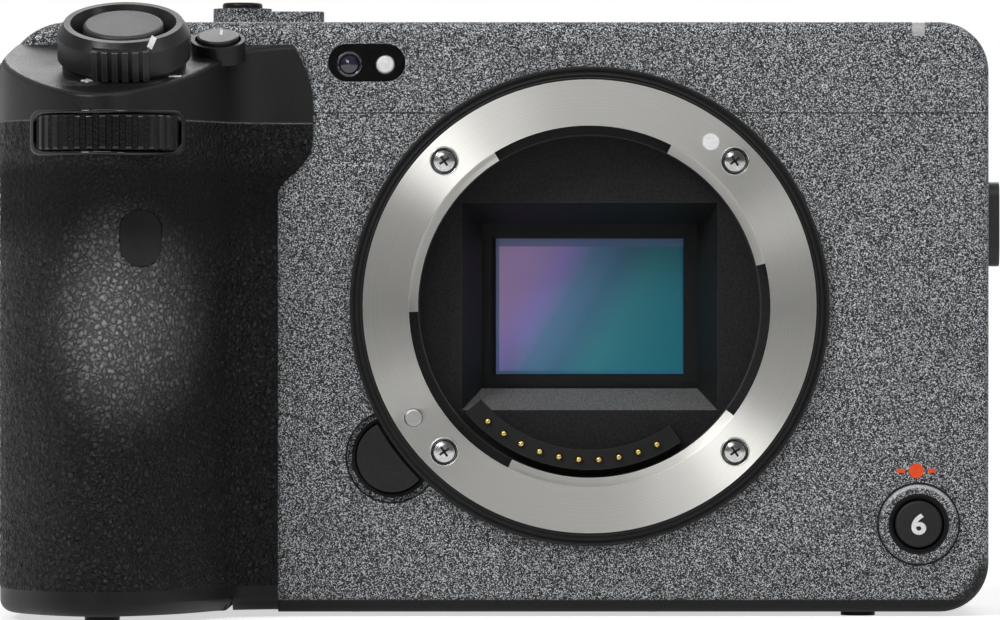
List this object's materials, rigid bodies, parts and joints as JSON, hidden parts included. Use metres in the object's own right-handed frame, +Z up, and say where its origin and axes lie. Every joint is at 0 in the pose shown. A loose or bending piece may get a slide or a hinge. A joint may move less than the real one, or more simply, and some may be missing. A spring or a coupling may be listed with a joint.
{
  "type": "cinema camera body",
  "caption": "Compact interchangeable-lens cinema camera body without a lens, with a moulded grip, bayonet mount, sensor, hinged side-opening screen, dials, buttons and doors.",
  "frame": {"origin": "centre of the lens mount in its flange plane", "axes": "+X to the right seen from the front, +Y into the body away from the lens, +Z up"},
  "size_m": [0.1294, 0.0834, 0.0792],
  "materials": {
    "speckled_coat": "matt coat with a fine light speckle",
    "satin_black": "satin moulded plastic",
    "grip_frame": "matt moulded plastic",
    "grip_skin": "pebbled leather grain",
    "dark_metal": "black anodised, turned",
    "mount_steel": "turned",
    "screw_steel": "bright",
    "white_mark": "plain",
    "chamber_black": "dull, anti-reflection",
    "gold": "plated",
    "sensor_face": "iridescent",
    "filter_glass": "coated",
    "circuit_board": "lacquered",
    "sink_aluminium": "milled",
    "fan_plastic": "moulded",
    "socket_metal": "pressed",
    "battery_case": "moulded",
    "pale_lamp": "translucent",
    "gloss_window": "polished dark window",
    "display_glass": "polished",
    "record_red": "satin moulded plastic"
  },
  "bodies": {
    "camera": {"front_cover": "speckled_coat", "top_cover": "speckled_coat", "rear_cover": "speckled_coat", "bottom_cover": "satin_black", "port_panel": "satin_black", "grip_shell": "grip_frame", "grip_leather": "grip_skin", "grip_top_cover": "satin_black", "grip_base": "satin_black", "ir_window": "gloss_window", "mount_surround_ring": "dark_metal", "mount_flange_ring": "mount_steel", "mount_screws": "screw_steel", "mount_index_dot": "white_mark", "light_box": "chamber_black", "contact_block": "chamber_black", "shift_base": "chamber_black", "heat_sink": "sink_aluminium", "main_board": "circuit_board", "sockets": "socket_metal", "battery": "battery_case", "memory_card": "battery_case", "shoe_rails": "screw_steel", "tally_lamp": "pale_lamp", "sensor_window": "gloss_window", "assist_lamp": "white_mark", "record_collar": "satin_black", "strap_lugs": "speckled_coat", "thread_bushes": "screw_steel"},
    "battery_door": {"battery_door": "satin_black"},
    "battery_latch": {"battery_latch": "satin_black"},
    "card_door": {"card_door": "satin_black"},
    "contact_pins": {"contact_pins": "gold"},
    "control_wheel": {"control_wheel": "dark_metal"},
    "cooling_fan": {"cooling_fan": "fan_plastic"},
    "custom_button": {"custom_button": "satin_black"},
    "front_dial": {"front_dial": "dark_metal"},
    "function_button": {"function_button": "satin_black"},
    "joystick": {"joystick": "satin_black"},
    "lens_release_button": {"lens_release_button": "satin_black"},
    "lock_pin": {"lock_pin": "screw_steel"},
    "lower_port_door": {"lower_port_door": "satin_black"},
    "menu_button": {"menu_button": "satin_black"},
    "playback_button": {"playback_button": "satin_black"},
    "power_button": {"power_button": "satin_black"},
    "power_lever": {"power_lever": "dark_metal"},
    "rear_dial": {"rear_dial": "dark_metal"},
    "record_button": {"record_button": "record_red"},
    "screen_arm": {"screen_arm": "satin_black", "screen_shell": "satin_black", "screen_glass": "display_glass"},
    "select_button": {"select_button": "satin_black"},
    "shift_stage": {"shift_stage": "screw_steel"},
    "shutter_button": {"shutter_button": "dark_metal"},
    "upper_port_door": {"upper_port_door": "satin_black"},
    "zoom_lever": {"zoom_lever": "dark_metal"},
    "sensor_carrier": {"sensor_carrier": "chamber_black", "image_sensor": "sensor_face", "sensor_glass": "filter_glass", "sensor_board": "circuit_board"}
  },
  "joints": [
    {"name": "zoom_turn", "type": "hinge", "parent": "camera", "child": "zoom_lever", "pos_m": [-0.0587, -0.011, 0.0313], "axis": [0, -0.3746, 0.9272], "range_deg": [-20, 20], "stiffness_Nm_per_rad": 0.01},
    {"name": "shutter_press", "type": "slide", "parent": "camera", "child": "shutter_button", "axis": [0, 0.3746, -0.9272], "range_m": [0, 0.0009], "stiffness_N_per_m": 300},
    {"name": "front_dial_turn", "type": "hinge", "parent": "camera", "child": "front_dial", "pos_m": [-0.0606, -0.0169, 0.0195], "axis": [0, 0, 1], "continuous": true},
    {"name": "custom_press", "type": "slide", "parent": "camera", "child": "custom_button", "axis": [0, 0.3746, -0.9272], "range_m": [0, 0.0006], "stiffness_N_per_m": 300},
    {"name": "power_turn", "type": "hinge", "parent": "camera", "child": "power_lever", "pos_m": [-0.0453, 0.0275, 0.03634], "axis": [0, 0, 1], "range_deg": [-35, 0]},
    {"name": "power_press", "type": "slide", "parent": "camera", "child": "power_button", "axis": [0, 0, -1], "range_m": [0, 0.0006], "stiffness_N_per_m": 300},
    {"name": "record_press", "type": "slide", "parent": "camera", "child": "record_button", "axis": [0, 1, 0], "range_m": [0, 0.0006], "stiffness_N_per_m": 300},
    {"name": "release_press", "type": "slide", "parent": "camera", "child": "lens_release_button", "axis": [0, 1, 0], "range_m": [0, 0.0015], "stiffness_N_per_m": 400},
    {"name": "lock_pin_slide", "type": "slide", "parent": "camera", "child": "lock_pin", "axis": [0, 1, 0], "range_m": [0, 0.0015], "stiffness_N_per_m": 400},
    {"name": "contact_press", "type": "slide", "parent": "camera", "child": "contact_pins", "axis": [0, 1, 0], "range_m": [0, 0.0005], "stiffness_N_per_m": 500},
    {"name": "sensor_shift_x", "type": "slide", "parent": "camera", "child": "shift_stage", "axis": [1, 0, 0], "range_m": [-0.001, 0.001], "stiffness_N_per_m": 2000},
    {"name": "sensor_shift_z", "type": "slide", "parent": "shift_stage", "child": "sensor_carrier", "axis": [0, 0, 1], "range_m": [-0.001, 0.001], "stiffness_N_per_m": 2000},
    {"name": "fan_spin", "type": "hinge", "parent": "camera", "child": "cooling_fan", "pos_m": [0, 0.0273, 0], "axis": [0, 1, 0], "continuous": true},
    {"name": "screen_open", "type": "hinge", "parent": "camera", "child": "screen_arm", "pos_m": [0.0475, 0.0521, 0.001], "axis": [0, 0, -1], "range_deg": [0, 176]},
    {"name": "rear_dial_turn", "type": "hinge", "parent": "camera", "child": "rear_dial", "pos_m": [-0.058, 0.0386, 0.0293], "axis": [0, 0, 1], "continuous": true},
    {"name": "wheel_turn", "type": "hinge", "parent": "camera", "child": "control_wheel", "pos_m": [-0.055, 0.047, -0.017], "axis": [0, 1, 0], "continuous": true},
    {"name": "select_press", "type": "slide", "parent": "camera", "child": "select_button", "axis": [0, -1, 0], "range_m": [0, 0.0006], "stiffness_N_per_m": 300},
    {"name": "stick_tilt", "type": "hinge", "parent": "camera", "child": "joystick", "pos_m": [-0.047, 0.0434, 0.0065], "axis": [1, 0, 0], "range_deg": [-8, 8], "stiffness_Nm_per_rad": 0.02},
    {"name": "menu_press", "type": "slide", "parent": "camera", "child": "menu_button", "axis": [0, -1, 0], "range_m": [0, 0.0006], "stiffness_N_per_m": 300},
    {"name": "function_press", "type": "slide", "parent": "camera", "child": "function_button", "axis": [0, -1, 0], "range_m": [0, 0.0006], "stiffness_N_per_m": 300},
    {"name": "playback_press", "type": "slide", "parent": "camera", "child": "playback_button", "axis": [0, -1, 0], "range_m": [0, 0.0006], "stiffness_N_per_m": 300},
    {"name": "battery_door_open", "type": "hinge", "parent": "camera", "child": "battery_door", "pos_m": [-0.0466, -0.001, -0.0378], "axis": [0, -1, 0], "range_deg": [0, 90]},
    {"name": "latch_slide", "type": "slide", "parent": "battery_door", "child": "battery_latch", "axis": [-1, 0, 0], "range_m": [0, 0.0015]},
    {"name": "card_door_open", "type": "hinge", "parent": "camera", "child": "card_door", "pos_m": [-0.0741, 0.033, -0.017], "axis": [0, 0, 1], "range_deg": [0, 90]},
    {"name": "upper_port_door_open", "type": "hinge", "parent": "camera", "child": "upper_port_door", "pos_m": [0.0501, 0.033, 0.0115], "axis": [0, 0, -1], "range_deg": [0, 90]},
    {"name": "lower_port_door_open", "type": "hinge", "parent": "camera", "child": "lower_port_door", "pos_m": [0.0501, 0.033, -0.01475], "axis": [0, 0, -1], "range_deg": [0, 90]}
  ],
  "couplings": [
    {"joint": "lock_pin_slide", "follows": "release_press", "ratio": 1}
  ]
}
